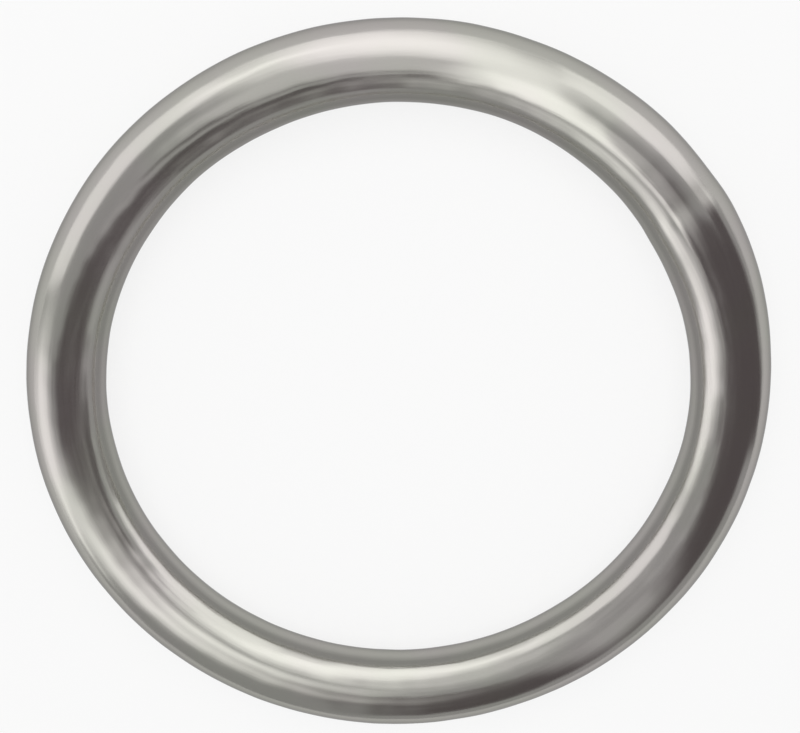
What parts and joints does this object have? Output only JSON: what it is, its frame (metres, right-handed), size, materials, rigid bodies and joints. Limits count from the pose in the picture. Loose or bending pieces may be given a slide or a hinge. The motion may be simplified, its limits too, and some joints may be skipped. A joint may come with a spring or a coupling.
{
  "type": "welded ring",
  "caption": "Closed round ring of polished stainless steel bar, butt-welded and dressed smooth, that joins ropes, webbing, chain or hooks.",
  "frame": {"origin": "centre of the ring's eye, halfway through the bar's thickness", "axes": "+Z along the ring's axis, so the ring lies flat; +X from the centre to the weld"},
  "size_m": [0.0764, 0.076, 0.0088],
  "materials": {
    "steel": "polished"
  },
  "bodies": {
    "root": {"ring": "steel"}
  },
  "joints": []
}
